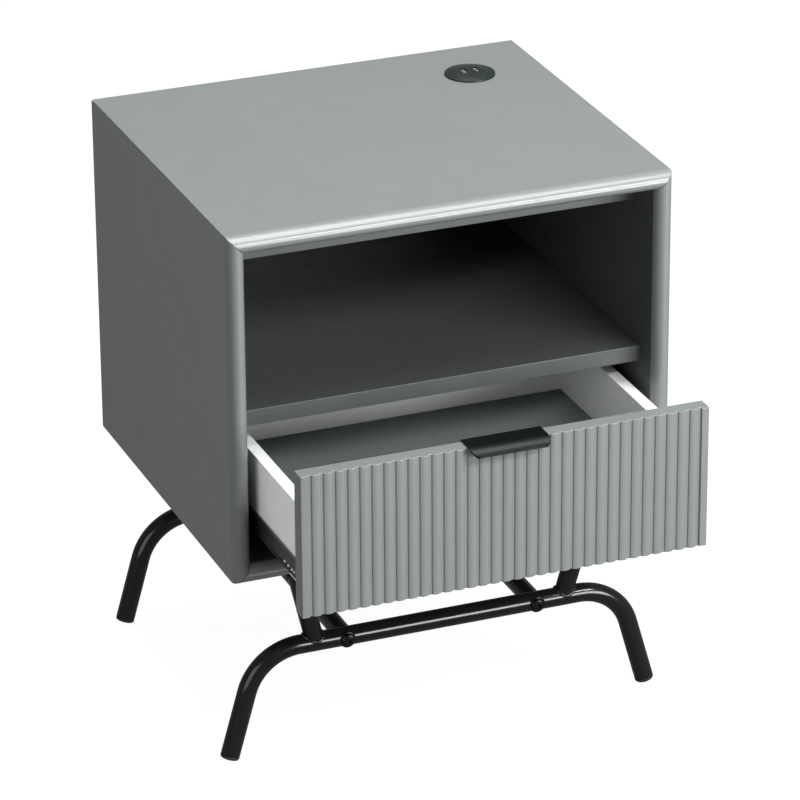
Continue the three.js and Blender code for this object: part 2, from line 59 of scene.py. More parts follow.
TOP_LOW, TOP_HIGH = extent("top_panel")
FRONT_LOW, FRONT_HIGH = extent("drawer_front")
HANDLE_LOW, HANDLE_HIGH = extent("drawer_handle")
HALF_WIDTH = extent("side_panel_right")[1].x
REAR = TOP_HIGH.y
NOSE_TIP = TOP_LOW.y
HEIGHT = TOP_HIGH.z
UNDERSIDE = extent("bottom_panel")[0].z
BOARD = TOP_HIGH.z - TOP_LOW.z

# ---- sizes of the detail ---------------------------------------------------------------------------------

NOSE = 14                            # how far the rounded front edge of a board reaches back
NOSE_STEPS = 32
REBATE = (9, 6.5)                    # width and depth, at the rear
MITRE_GAP = 0.3

USB = {"barrel": 22, "bore": 20, "ledge": 3.4, "edge": 1.1, "groove": 2.0, "rim": 2.25, "crown_start": 2.35}
PORT_GAP = 0.3

REEDS = {
    "count": 33, "pitch": 11.86, "width": 8.2, "depth": 2.0, "crown": 1.0, "corner": 0.45, "bevel": 0.8,
}
PULL = {"sheet": 1.6, "drop": 6.5, "bend": -17.3, "fold": 1.0, "corner": 10}
SLIDE = {"sheet": 1.2, "curl": 2.4, "lining": 0.2, "rise": 4}
SLIDE_SLOTS = {"at": (60, 150, 262), "down": 2.0, "width": 2.2, "length": 4.6}
SLIDE_STUDS = {"at": (21, 27, 36, 46), "up": 4.6, "radius": 1.15, "proud": 0.9}
SLIDE_HIGHLIGHT_STRIP = {"start": 2, "length": 26, "up": 0.4, "height": 0.9, "out": 2.8, "proud": 0.35}

TUBE = 9.5
WALL = 1.5
RAIL_Z = 111
RAIL_Y = {"front": REAR - 357, "rear": REAR - 38}
LEAN = {"front": -1, "rear": 1}
FOOT_X = 220.5
SPLAY = math.atan(0.285)
BEND = 57
UPRIGHT = {"foot": 130.4, "top": 154.2, "lean": 7.5, "flattened": 0.88}
WELD = {"saddle": 1.9, "plate": 1.7, "stand_off": 0.3}
WASHER = {"radius": 8.3, "bore": 3.1, "thickness": 1.9, "edge": 0.5, "sunk": 0.1}
INSET = 0.05                         # tubes that meet a thicker one are this much thinner
PLATE = {"width": 34, "length": 61, "thickness": 3, "corner": 3}
BAR_X = 99.7
BOLT = {"radius": 7, "height": 4, "socket": 2.3, "depth": 2.4, "shank": 3, "length": 20, "seat": 0.3}

# ---- meshes ---------------------------------------------------------------------------------------------


def new_object(name, verts, faces):
    """A mesh object in metres from corners in millimetres."""
    mesh = bpy.data.meshes.new(name)
    mesh.from_pydata([Vector(v) * MM for v in verts], [], faces)
    mesh.validate()
    obj = bpy.data.objects.new(name, mesh)
    bpy.context.scene.collection.objects.link(obj)
    return obj


def soften(obj, bevel=0.0, segments=2, angle=40):
    """Rounds the edges sharper than angle, and shades the rest smooth."""
    mesh = obj.data
    if obj.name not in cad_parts:
        mesh.shade_smooth()
        mesh.set_sharp_from_angle(angle=math.radians(angle))
    if bevel:
        round_over = obj.modifiers.new("edges", "BEVEL")
        round_over.width = bevel * MM
        round_over.segments = segments
        round_over.limit_method = "ANGLE"
        round_over.angle_limit = math.radians(angle)
        round_over.use_clamp_overlap = True
        round_over.harden_normals = False
    weighted = obj.modifiers.new("normals", "WEIGHTED_NORMAL")
    weighted.keep_sharp = not bevel


def finish(obj, material, body=ROOT, replaces=(), bevel=0.0, segments=2, angle=40, slot=None):
    """Gives a mesh its finish and soft edges, ties it to its body and hides the CAD nodes it replaces; slot
    is not used.
    """
    obj.data.materials.clear()
    obj.data.materials.append(material)
    soften(obj, bevel, segments, angle)
    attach(obj, body)
    if replaces:
        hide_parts(*replaces)
    return obj


def piece(name, shape, material, **options):
    """A visible piece made from (verts, faces) in millimetres."""
    return finish(new_object(name, *shape), material, **options)


def dress(node, material, bevel=0.4, segments=2):
    """Gives a CAD node its finish and softer edges; its own mesh stays as it is."""
    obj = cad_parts[node]
    obj.data.materials.clear()
    obj.data.materials.append(material)
    weld = obj.modifiers.new("weld", "WELD")
    weld.merge_threshold = 1e-5
    soften(obj, bevel, segments)


def join(*shapes):
    """Several shapes as one."""
    verts, faces = [], []
    for more_verts, more_faces in shapes:
        start = len(verts)
        verts += list(more_verts)
        faces += [[start + i for i in face] for face in more_faces]
    return verts, faces


def place(shape, matrix):
    """The shape moved by matrix."""
    verts, faces = shape
    return [matrix @ Vector(v) for v in verts], faces


def loft(rings, closed=False, caps=True):
    """Faces between rings of equal length; a closed loft joins its last ring to its first."""
    count = len(rings[0])
    verts = [v for ring in rings for v in ring]
    faces = []
    last = len(rings) if closed else len(rings) - 1
    for i in range(last):
        here, there = i * count, (i + 1) % len(rings) * count
        for k in range(count):
            after = (k + 1) % count
            faces.append([here + k, here + after, there + after, there + k])
    if caps and not closed:
        faces.append(list(range(count))[::-1])
        faces.append([(len(rings) - 1) * count + k for k in range(count)])
    return verts, faces


def arc(cx, cy, radius, start, stop, steps):
    """Points on an arc, in degrees, both ends included."""
    angles = [math.radians(start + (stop - start) * i / steps) for i in range(steps + 1)]
    return [(cx + radius * math.cos(a), cy + radius * math.sin(a)) for a in angles]


def lathe(profile, sides=64):
    """A closed solid turned about Z from (radius, z) points running from the axis out and back to it."""
    on_axis = [abs(r) < 1e-9 for r, _ in profile]
    verts, faces = [], []
    index = {}
    for k in range(sides):
        a = TAU * k / sides
        for i, (r, z) in enumerate(profile):
            key = (0 if on_axis[i] else k, i)
            if key not in index:
                index[key] = len(verts)
                verts.append((r * math.cos(a), r * math.sin(a), z))
    for k in range(sides):
        for i in range(len(profile) - 1):
            corners = [(k, i), (k + 1, i), (k + 1, i + 1), (k, i + 1)]
            face = []
            for side, row in corners:
                vert = index[(0 if on_axis[row] else side % sides, row)]
                if vert not in face:
                    face.append(vert)
            if len(face) > 2:
                faces.append(face)
    return verts, faces


def box_shape(x, y, z):
    """A box between two limits on each axis."""
    ring = [(x[0], y[0]), (x[1], y[0]), (x[1], y[1]), (x[0], y[1])]
    return loft([[(a, b, z[0]) for a, b in ring], [(a, b, z[1]) for a, b in ring]])


def carve(obj, shapes, operation="DIFFERENCE"):
    """Cuts shapes out of obj's mesh, or keeps only what lies inside them."""
    for shape in shapes:
        tool = new_object("cutter", *shape)
        cut = obj.modifiers.new("cut", "BOOLEAN")
        cut.operation = operation
        cut.solver = "EXACT"
        cut.object = tool
        graph = bpy.context.evaluated_depsgraph_get()
        carved = bpy.data.meshes.new_from_object(obj.evaluated_get(graph))
        obj.modifiers.remove(cut)
        obj.data = carved
        bpy.data.objects.remove(tool)


# ---- materials ------------------------------------------------------------------------------------------


class Shader:
    """A Principled material whose detail is set up from a few noises in the piece's own coordinates."""

    def __init__(self, name, **sockets):
        self.material = bpy.data.materials.new(name)
        self.material.use_nodes = True
        self.tree = self.material.node_tree
        self.principled = self.tree.nodes["Principled BSDF"]
        for socket, value in sockets.items():
            self.principled.inputs[socket.replace("_", " ")].default_value = value
        self.place = self.add("ShaderNodeTexCoord").outputs["Object"]
        self.normal = None

    def add(self, kind, **values):
        made = self.tree.nodes.new(kind)
        for key, value in values.items():
            if key in made.inputs:
                made.inputs[key].default_value = value
            else:
                setattr(made, key, value)
        return made

    def link(self, source, target):
        self.tree.links.new(source, target)

    def noise(self, scale, detail=2.0, roughness=0.5, stretch=None):
        made = self.add("ShaderNodeTexNoise")
        made.inputs["Scale"].default_value = scale
        made.inputs["Detail"].default_value = detail
        made.inputs["Roughness"].default_value = roughness
        source = self.place
        if stretch:
            mapping = self.add("ShaderNodeMapping")
            mapping.inputs["Scale"].default_value = stretch
            self.link(self.place, mapping.inputs["Vector"])
            source = mapping.outputs["Vector"]
        self.link(source, made.inputs["Vector"])
        return made.outputs["Fac"]

    def spread(self, source, low, high, start=0.3, stop=0.7):
        made = self.add("ShaderNodeMapRange")
        made.inputs["From Min"].default_value = start
        made.inputs["From Max"].default_value = stop
        made.inputs["To Min"].default_value = low
        made.inputs["To Max"].default_value = high
        self.link(source, made.inputs["Value"])
        return made.outputs["Result"]

    def mix(self, factor, first, second):
        """A colour between two others, each of them a socket or an (r, g, b)."""
        made = self.add("ShaderNodeMix", data_type="RGBA")
        first_colour, second_colour = 6, 7
        for place, value in ((first_colour, first), (second_colour, second)):
            socket = made.inputs[place]
            if isinstance(value, bpy.types.NodeSocket):
                self.link(value, socket)
            else:
                socket.default_value = (*value, 1)
        self.link(factor, made.inputs[0])
        return made.outputs[2]

    def colour(self, source):
        self.link(source, self.principled.inputs["Base Color"])

    def rough(self, source):
        self.link(source, self.principled.inputs["Roughness"])

    def bump(self, source, depth, strength=1.0):
        """Adds a bump of depth millimetres on top of the earlier ones."""
        made = self.add("ShaderNodeBump")
        made.inputs["Strength"].default_value = strength
        made.inputs["Distance"].default_value = depth * MM
        self.link(source, made.inputs["Height"])
        if self.normal:
            self.link(self.normal, made.inputs["Normal"])
        self.normal = made.outputs["Normal"]
        self.link(self.normal, self.principled.inputs["Normal"])


def shade(colour, factor):
    return tuple(c * factor for c in colour)


def painted(name, colour, roughness, peel, coat=0.0, coat_roughness=0.1, cloud=0.015, specular=0.5):
    """Sprayed paint: clouded colour, orange peel and a little dust in the film."""
    coating = {"Coat_Weight": coat, "Coat_Roughness": coat_roughness}
    made = Shader(name, IOR=1.5, Specular_IOR_Level=specular, **coating)
    patches = made.spread(made.noise(4.5, 3), 0, 1)
    clouds = made.mix(patches, shade(colour, 1 - cloud), shade(colour, 1 + cloud))
    specks = made.mix(made.spread(made.noise(900, 1), 0, 0.35, 0.55, 0.8), clouds, shade(colour, 0.9))
    made.colour(specks)
    made.rough(made.spread(made.noise(38, 4), roughness * 0.9, roughness * 1.12))
    made.bump(made.noise(330, 2), peel)
    made.bump(made.noise(60, 2), peel * 2)
    return made.material


def laminate(name, colour, roughness):
    """Melamine-faced board: a fine printed grain and a pressed texture."""
    made = Shader(name, IOR=1.48)
    grain = made.noise(70, 4, 0.6, (0.18, 1, 1))
    grained = made.mix(made.spread(grain, 0, 1), shade(colour, 0.965), shade(colour, 1.03))
    made.colour(grained)
    made.rough(made.spread(made.noise(120, 3), roughness * 0.9, roughness * 1.15))
    made.bump(made.noise(1100, 2), 0.012)
    return made.material


def linen(name, colour):
    """Board facing printed and pressed as a plain weave."""
    made = Shader(name, IOR=1.45)
    threads = []
    for axis in ("X", "Y"):
        wave = made.add("ShaderNodeTexWave", wave_type="BANDS", bands_direction=axis)
        wave.inputs["Scale"].default_value = 330
        wave.inputs["Distortion"].default_value = 1.2
        wave.inputs["Detail"].default_value = 1
        made.link(made.place, wave.inputs["Vector"])
        threads.append(wave.outputs["Fac"])
    weave = made.add("ShaderNodeMath", operation="MULTIPLY")
    made.link(threads[0], weave.inputs[0])
    made.link(threads[1], weave.inputs[1])
    woven = made.mix(weave.outputs[0], shade(colour, 0.86), shade(colour, 1.12))
    patched = made.mix(made.spread(made.noise(22, 4), 0, 0.5), woven, shade(colour, 0.92))
    made.colour(patched)
    made.rough(made.spread(made.noise(160, 2), 0.5, 0.66))
    made.bump(weave.outputs[0], 0.05)
    return made.material


def moulded(name, colour, roughness):
    """Moulded plastic with a spark-eroded grain."""
    made = Shader(name, IOR=1.5, Specular_IOR_Level=0.25)
    made.colour(made.mix(made.spread(made.noise(260, 3), 0, 1), shade(colour, 0.85), shade(colour, 1.2)))
    made.rough(made.spread(made.noise(90, 2), roughness * 0.85, roughness * 1.15))
    made.bump(made.noise(1500, 2), 0.02)
    return made.material


def metal(name, colour, roughness, stretch=(1, 1, 12)):
    """Plated or bare metal with fine drawing marks and a patchy bloom."""
    made = Shader(name, Metallic=1.0)
    made.colour(made.mix(made.spread(made.noise(120, 4), 0, 1), shade(colour, 0.82), shade(colour, 1.1)))
    made.rough(made.spread(made.noise(240, 3, 0.6, stretch), roughness * 0.75, roughness * 1.35))
    made.bump(made.noise(500, 2, 0.5, stretch), 0.006)
    return made.material


def circuit(name):
    """Green solder mask over copper tracks."""
    made = Shader(name, IOR=1.5, Coat_Weight=0.4)
    brick = made.add("ShaderNodeTexBrick")
    brick.inputs["Scale"].default_value = 260
    brick.inputs["Color1"].default_value = (0.012, 0.10, 0.04, 1)
    brick.inputs["Color2"].default_value = (0.016, 0.13, 0.05, 1)
    brick.inputs["Mortar"].default_value = (0.03, 0.19, 0.08, 1)
    made.link(made.place, brick.inputs["Vector"])
    made.colour(brick.outputs["Color"])
    made.rough(made.spread(made.noise(150, 2), 0.35, 0.55))
    made.bump(brick.outputs["Fac"], 0.03)
    return made.material


SAGE = (0.140, 0.155, 0.146)
lacquer = painted("sage_lacquer", SAGE, 0.36, 0.006, 0.35, 0.14)
# painted shade: the inside faces of the panels take the sage at 0.36 of its brightness, for the dim inside
# of the cabinet
inner_painted_shade = painted("sage_inner_painted_shade", shade(SAGE, 0.36), 0.42, 0.006)
# painted shade: the back panel takes the sage at 0.8 of its brightness, for the shade deep in the niche
back_painted_shade = painted("sage_back_painted_shade", shade(SAGE, 0.8), 0.42, 0.006)
# painted shade: the top front rail takes the sage at 0.66 of its brightness, for the shade under the top's
# nose
rail_painted_shade = painted("sage_rail_painted_shade", shade(SAGE, 0.66), 0.42, 0.006)
# painted shade: the shelf takes the sage at 0.36 of its brightness, for the shade inside the niche
shelf_painted_shade = painted("sage_shelf_painted_shade", shade(SAGE, 0.36), 0.42, 0.006)
white = laminate("white_melamine", (0.88, 0.90, 0.89), 0.42)
floor_face = linen("drawer_floor", (0.158, 0.181, 0.166))
black = painted("black_powder_coat", (0.0060, 0.0070, 0.0068), 0.17, 0.003, 0.1, 0.08, 0.1, 0.34)
plastic = moulded("charcoal_plastic", (0.0085, 0.0135, 0.0125), 0.32)
glide_plastic = moulded("glide_plastic", (0.012, 0.014, 0.0135), 0.45)
tongue_plastic = moulded("tongue_plastic", (0.82, 0.84, 0.83), 0.4)
zinc = metal("bright_zinc", (0.62, 0.64, 0.65), 0.3)
slide_steel = metal("dark_slide_steel", (0.17, 0.18, 0.175), 0.42, (1, 0.08, 1))
satin_black = painted("satin_black_sheet", (0.0026, 0.0042, 0.0038), 0.3, 0.004, 0, 0.3, 0.08, 0.16)
black_bolt = metal("black_oxide", (0.03, 0.032, 0.033), 0.3)
board_green = circuit("solder_mask")

# ---- cabinet --------------------------------------------------------------------------------------------


def board_section():
    """Section in (y from the rear, depth from the outer face), nose at the front and rebate at the rear."""
    straight = NOSE_TIP + NOSE - REAR
    nose = []
    for i in range(NOSE_STEPS + 1):
        t = math.pi * i / NOSE_STEPS
        nose.append((straight - NOSE * math.sin(t), -BOARD / 2 + BOARD / 2 * math.cos(t)))
    wide, deep = REBATE
    return [(0, 0), *nose, (-deep, -BOARD), (-deep, wide - BOARD), (0, wide - BOARD)]


def mitred_board(length):
    """A board along X, outer face at z = 0, mitred at both ends."""
    section = board_section()
    rings = []
    for way in (-1, 1):
        rings.append([(way * (length / 2 - MITRE_GAP + z), REAR + y, z) for y, z in section])
    return loft(rings)


def build_cabinet():
    height = HEIGHT - UNDERSIDE
    middle = (HEIGHT + UNDERSIDE) / 2
    upside_down = Matrix.Rotation(math.pi, 4, "Y")
    panels = [
        ("top_panel", 2 * HALF_WIDTH, Matrix.Translation((0, 0, HEIGHT))),
        ("bottom_panel", 2 * HALF_WIDTH, Matrix.Translation((0, 0, UNDERSIDE)) @ upside_down),
    ]
    for side, s in SIDES:
        turn = Matrix.Rotation(s * math.pi / 2, 4, "Y")
        middle_of_side = Matrix.Translation((s * HALF_WIDTH, 0, middle))
        panels.append((f"side_panel_{side}", height, middle_of_side @ turn))
    for node, length, matrix in panels:
        shape = place(mitred_board(length), matrix)
        obj = piece(f"{node}_lacquered", shape, lacquer, replaces=[node], bevel=0.3, slot="sage_lacquer")
        # the faces towards the inside of the cabinet get a darker sage: painted shade for the dim inside of
        # the cabinet
        obj.data.materials.append(inner_painted_shade)
        inward = matrix.to_3x3() @ Vector((0, 0, -1))
        for face in obj.data.polygons:
            if face.normal.dot(inward) > 0.995:
                face.material_index = 1
    # painted shade: the shelf wears a darker copy of the sage lacquer
    dress("shelf_panel", shelf_painted_shade, 0.5)
    # painted shade: the top front rail wears a darker copy of the sage lacquer
    dress("top_front_rail", rail_painted_shade, 0.5)
    # painted shade: the back panel wears a darker copy of the sage lacquer
    dress("back_panel", back_painted_shade, 0.4)


# ---- USB outlet -----------------------------------------------------------------------------------------


def outlet_profile(flange, foot, dome):
    """Half section of the housing as (radius, z): barrel, flange, ring groove and dome."""
    ledge = flange - USB["ledge"]
    crown_start = USB["crown_start"]
    bore, barrel, edge = USB["bore"], USB["barrel"], USB["edge"]
    points = [(0, 0), (bore, 0), (bore, foot), (barrel, foot), (barrel, 0), (flange, 0)]
    points += arc(flange - edge, 0.9, edge, 0, 62, 4)
    points += [(ledge + 0.5, USB["rim"]), (ledge + 0.15, USB["groove"])]
    points += [(ledge - 0.3, USB["groove"]), (ledge - 0.6, crown_start)]
    steps = 10
    for i in range(1, steps + 1):
        share = 1 - i / steps
        points.append(((ledge - 0.6) * share, dome - (dome - crown_start) * share ** 2))
    return points


def build_outlet():
    low, high = extent("usb_housing")
    centre = (low + high) / 2
    dome = high.z - HEIGHT
    profile = outlet_profile((high.x - low.x) / 2, low.z - HEIGHT, dome)
    shape = place(lathe(profile, 96), Matrix.Translation((centre.x, centre.y, HEIGHT)))
    obj = new_object("usb_outlet_housing", *shape)
    openings = []
    for side, _ in SIDES:
        port_low, port_high = extent(f"usb_port_{side}")
        x = (port_low.x - PORT_GAP, port_high.x + PORT_GAP)
        y = (port_low.y - PORT_GAP, port_high.y + PORT_GAP)
        openings.append(box_shape(x, y, (HEIGHT - 1, HEIGHT + dome + 1)))
    carve(obj, openings)
    finish(obj, plastic, replaces=["usb_housing"], bevel=0.12, slot="black_plastic")
    dress("usb_nut", plastic, 0.6)
    dress("usb_circuit_board", board_green, 0.1)
    for side, _ in SIDES:
        dress(f"usb_port_{side}", zinc, 0.08)
        dress(f"usb_tongue_{side}", tongue_plastic, 0.15)


# ---- drawer ---------------------------------------------------------------------------------------------


def reed(x, face, channel):
    """One reed in (x, y): a straight flank, a small round corner, a low crown, and the same again."""
    half, crown, corner = REEDS["width"] / 2, REEDS["crown"], REEDS["corner"]
    radius = (half ** 2 + crown ** 2) / (2 * crown)
    sweep = math.degrees(math.asin((half - corner * 0.45) / radius))
    top = arc(x, face + radius, radius, -90 - sweep, -90 + sweep, 10)
    drop = top[0][1]
    left = [(x - half, channel), (x - half, drop + corner)]
    left.append((x - half + corner * 0.12, drop + corner * 0.45))
    right = [(2 * x - px, py) for px, py in left[::-1]]
    return [*left, *top, *right]


def reeded_section():
    half = FRONT_HIGH.x
    rear, face = FRONT_HIGH.y, FRONT_LOW.y
    channel = face + REEDS["depth"]
    edge = REEDS["bevel"]
    land = half - ((REEDS["count"] + 1) / 2 * REEDS["pitch"] - REEDS["width"] / 2)
    end = [(half, rear), (half, face + edge), (half - edge, face)]
    end += [(half - land, face), (half - land, channel)]
    points = [(-x, y) for x, y in end]
    for i in range(REEDS["count"]):
        points += reed((i - (REEDS["count"] - 1) / 2) * REEDS["pitch"], face, channel)
    return points + end[::-1]


def sheet_outline():
    """The pull's side view, as (y, z): a hook over the front's top edge, and a curved lip."""
    rear, top = HANDLE_HIGH.y, HANDLE_HIGH.z
    sheet, drop, fold = PULL["sheet"], PULL["drop"], PULL["fold"]
    bend = FRONT_HIGH.y + PULL["bend"]
    run = bend - HANDLE_LOW.y
    radius = (run ** 2 + drop ** 2) / (2 * drop)
    sweep = math.degrees(math.asin(run / radius))
    outer = [(rear, HANDLE_LOW.z), *arc(rear - fold, top - fold, fold, 0, 90, 5)]
    outer += arc(bend, top - radius, radius, 90, 90 + sweep, 14)
    inner = arc(bend, top - radius, radius - sheet, 90 + sweep, 90, 14)
    inner += [(rear - sheet, top - sheet), (rear - sheet, HANDLE_LOW.z)]
    return outer + inner


def build_handle():
    half = HANDLE_HIGH.x
    obj = new_object("drawer_pull", *loft([[(x, y, z) for y, z in sheet_outline()] for x in (-half, half)]))
    corner = PULL["corner"]
    lip, clear = HANDLE_LOW.y, 5
    plan = [(half, HANDLE_HIGH.y + clear), (-half, HANDLE_HIGH.y + clear)]
    plan += arc(corner - half, lip + corner, corner, 180, 270, 12)
    plan += arc(half - corner, lip + corner, corner, 270, 360, 12)
    levels = (HANDLE_HIGH.z + clear, HANDLE_LOW.z - clear)
    carve(obj, [loft([[(x, y, z) for x, y in plan] for z in levels])], "INTERSECT")
    finish(obj, satin_black, DRAWER, ["drawer_handle"], bevel=0.3, segments=3, slot="black_steel")
    for side, _ in SIDES:
        dress(f"handle_screw_{side}", black_bolt, 0.2)


def build_drawer():
    front = loft([[(x, y, z) for x, y in reeded_section()] for z in (FRONT_HIGH.z, FRONT_LOW.z)])
    piece("drawer_front_reeded", front, lacquer, body=DRAWER, replaces=["drawer_front"],
          bevel=0.45, segments=3, angle=50, slot="sage_lacquer")
    for side, _ in SIDES:
        dress(f"drawer_side_{side}", white, 0.7, 3)
    dress("drawer_back", white, 0.7, 3)
    dress("drawer_floor", floor_face, 0.3)
    build_handle()


# ---- slides ---------------------------------------------------------------------------------------------


def curled_section(s, wall, low, high):
    """A slide member in (x, z): a flat web on the drawer's side with both edges curled outwards."""
    sheet, lining = SLIDE["sheet"], SLIDE["lining"]
    middle = SLIDE["curl"] / 2 + lining
    lower = arc(middle, low + middle, middle, 180, 360, 8)
    lower += arc(middle, low + middle, middle - sheet + lining, 360, 180, 6)
    upper = [(x, low + high - z) for x, z in lower[::-1]]
    return [(wall + s * x, z) for x, z in [*lower, *upper]]


def slide_slots(wall, middle):
    """Cutters for the upright slots through a slide member's web."""
    half_width, half_length = SLIDE_SLOTS["width"] / 2, SLIDE_SLOTS["length"] / 2
    z = middle - SLIDE_SLOTS["down"]
    cutters = []
    for back in SLIDE_SLOTS["at"]:
        y = FRONT_HIGH.y + back
        along = (y - half_width, y + half_width)
        cutters.append(box_shape((wall - 3, wall + 3), along, (z - half_length, z + half_length)))
    return cutters


def build_slide_trim(side, s, wall, bottom):
    """White nylon studs along the drawer member near its front, and a thin white strip on its lower curl, a
    painted highlight on the lip.
    """
    reach, proud = SLIDE_STUDS["radius"], SLIDE_STUDS["proud"]
    dome = [(0, -1), (reach, -1)]
    dome += [(reach * math.sin(t), proud * math.cos(t)) for t in (1.5, 1.1, 0.7, 0.35)]
    dome.append((0, proud))
    outward = Matrix.Rotation(s * math.pi / 2, 4, "Y")
    studs = []
    for back in SLIDE_STUDS["at"]:
        seat = Vector((wall + s * SLIDE["sheet"], FRONT_HIGH.y + back, bottom + SLIDE_STUDS["up"]))
        studs.append(place(lathe(dome, 20), Matrix.Translation(seat) @ outward))
    piece(f"slide_studs_{side}", join(*studs), tongue_plastic, body=DRAWER)
    # painted highlight: a thin white strip along the lower curl stands in for the bright line on the lip
    start = FRONT_HIGH.y + SLIDE_HIGHLIGHT_STRIP["start"]
    outer = wall + s * SLIDE_HIGHLIGHT_STRIP["out"]
    across = sorted((outer, outer + s * SLIDE_HIGHLIGHT_STRIP["proud"]))
    foot = bottom + SLIDE_HIGHLIGHT_STRIP["up"]
    strip = box_shape(across, (start, start + SLIDE_HIGHLIGHT_STRIP["length"]), (foot, foot + SLIDE_HIGHLIGHT_STRIP["height"]))
    piece(f"slide_highlight_strip_{side}", strip, tongue_plastic, body=DRAWER, bevel=0.1)


def build_slides():
    for side, s in SIDES:
        dress(f"slide_cabinet_member_{side}", slide_steel, 0.15)
        dress(f"slide_cage_{side}", zinc, 0.15)
        node = f"slide_drawer_member_{side}"
        low, high = extent(node)
        wall = low.x if s > 0 else high.x
        section = curled_section(s, wall, low.z, high.z + SLIDE["rise"])
        ends = (low.y, high.y) if s > 0 else (high.y, low.y)
        shape = loft([[(x, y, z) for x, z in section] for y in ends])
        member = new_object(f"slide_inner_rail_{side}", *shape)
        carve(member, slide_slots(wall, (low.z + high.z) / 2))
        finish(member, slide_steel, DRAWER, [node], bevel=0.15, slot="black_steel")
        build_slide_trim(side, s, wall, low.z)


# ---- base -----------------------------------------------------------------------------------------------


def ring_at(centre, across, up, radius, sides):
    angles = [TAU * k / sides for k in range(sides)]
    return [centre + across * (radius * math.cos(a)) + up * (radius * math.sin(a)) for a in angles]


def pipe(stations, radius, bore, sides=48):
    """A hollow tube through (point, heading, across) stations, with rounded ends."""
    lip = 0.6

    def rim(station, size, back=0.0):
        point, heading, across = station
        return ring_at(point + heading * back, across, heading.cross(across), size, sides)

    outer = [rim(station, radius) for station in stations]
    outer[0] = rim(stations[0], radius, lip)
    outer[-1] = rim(stations[-1], radius, -lip)
    inner = [rim(station, bore) for station in stations]
    start, end = rim(stations[0], radius - lip), rim(stations[-1], radius - lip)
    return loft([start, *outer, end, *inner[::-1]], closed=True)


def leg_stations():
    turn = math.pi / 2 - SPLAY
    corner = FOOT_X - math.tan(SPLAY) * (RAIL_Z - TUBE * math.sin(SPLAY))
    tangent = BEND * math.tan(turn / 2)
    centre = Vector((corner - tangent, 0, RAIL_Z - BEND))
    across = Vector((0, 1, 0))
    steps = 28
    half = []
    for i in range(steps + 1):
        angle = turn * i / steps
        out = Vector((math.sin(angle), 0, math.cos(angle)))
        half.append((centre + out * BEND, Vector((math.cos(angle), 0, -math.sin(angle))), across))
    down = Vector((math.sin(SPLAY), 0, -math.cos(SPLAY)))
    glide = 3.3
    foot = Vector((FOOT_X, 0, TUBE * math.sin(SPLAY))) - down * glide
    half.append((foot, down, across))
    mirrored = [(Vector((-p.x, 0, p.z)), Vector((h.x, 0, -h.z)), a) for p, h, a in reversed(half)]
    return mirrored + half


def upright_axis(s, lean):
    foot = Vector((0, 0, RAIL_Z))
    head = Vector((s * (UPRIGHT["top"] - UPRIGHT["foot"]), lean * UPRIGHT["lean"], UNDERSIDE))
    return foot, (head - foot).normalized()


def across_axes(axis):
    """Two directions square to an upright's axis, the first nearest to X."""
    e1 = (Vector((1, 0, 0)) - axis * axis.x).normalized()
    return e1, axis.cross(e1)


def upright_shape(s, lean):
    """Leaning tube between the rail and the plate, both ends hidden by what it is welded to."""
    foot, axis = upright_axis(s, lean)
    e1, e2 = across_axes(axis)
    sides = 48
    low, high, top = RAIL_Z + 1.5, RAIL_Z + 2 * TUBE, UNDERSIDE - PLATE["thickness"]
    rings = []
    for level, squash in ((low, UPRIGHT["flattened"]), (high, 1), (top, 1)):
        centre = foot + axis * ((level - foot.z) / axis.z)
        ring = []
        for k in range(sides):
            a = TAU * k / sides
            point = centre + (e1 * math.cos(a) + e2 * math.sin(a) * squash) * (TUBE - INSET)
            ring.append(point + axis * ((level - point.z) / axis.z))
        rings.append(ring)
    return loft(rings)


def bead(points, radius, sides=10, ripple=0.07):
    """A weld bead: a small rippled round swept along a closed curve."""
    count = len(points)
    rings = []
    for i, point in enumerate(points):
        along = (points[(i + 1) % count] - points[i - 1]).normalized()
        e1 = along.orthogonal().normalized()
        if rings:
            e1 = (previous - along * previous.dot(along)).normalized()
        previous = e1
        swell = radius * (1 + ripple * math.sin(i * TAU / 3.2))
        rings.append(ring_at(point, e1, along.cross(e1), swell, sides))
    return loft(rings, closed=True)


def saddle_curve(s, lean, radius, steps=96, rounding=12):
    """Where an upright of that radius meets the rail's surface, with its lowest points rounded off."""
    foot, axis = upright_axis(s, lean)
    e1, e2 = across_axes(axis)
    points = []
    for k in range(steps):
        a = TAU * k / steps
        start = (e1 * math.cos(a) + e2 * math.sin(a) * UPRIGHT["flattened"]) * radius
        # |(start + axis * t) across X| = TUBE, taking the upper crossing
        qa = axis.y ** 2 + axis.z ** 2
        qb = 2 * (start.y * axis.y + start.z * axis.z)
        qc = start.y ** 2 + start.z ** 2 - TUBE ** 2
        t = (-qb + math.sqrt(max(qb * qb - 4 * qa * qc, 0))) / (2 * qa)
        points.append(foot + start + axis * t)
    for _ in range(rounding):
        points = [(points[k - 1] + points[k] * 2 + points[(k + 1) % steps]) / 4 for k in range(steps)]
    return points


def plate_curve(s, lean, steps=72):
    """Where an upright meets its plate."""
    foot, axis = upright_axis(s, lean)
    top = UNDERSIDE - PLATE["thickness"]
    centre = foot + axis * ((top - foot.z) / axis.z)
    return ring_at(centre, Vector((1, 0, 0)), Vector((0, 1, 0)), TUBE + WELD["stand_off"], steps)


def rounded_plate():
    """Mounting plate with round corners, its upper face at z = 0."""
    w, l, r = PLATE["width"] / 2, PLATE["length"] / 2, PLATE["corner"]
    plan = arc(w - r, l - r, r, 0, 90, 6) + arc(r - w, l - r, r, 90, 180, 6)
    plan += arc(r - w, r - l, r, 180, 270, 6) + arc(w - r, r - l, r, 270, 360, 6)
    return loft([[(x, y, z) for x, y in plan] for z in (-PLATE["thickness"], 0)])


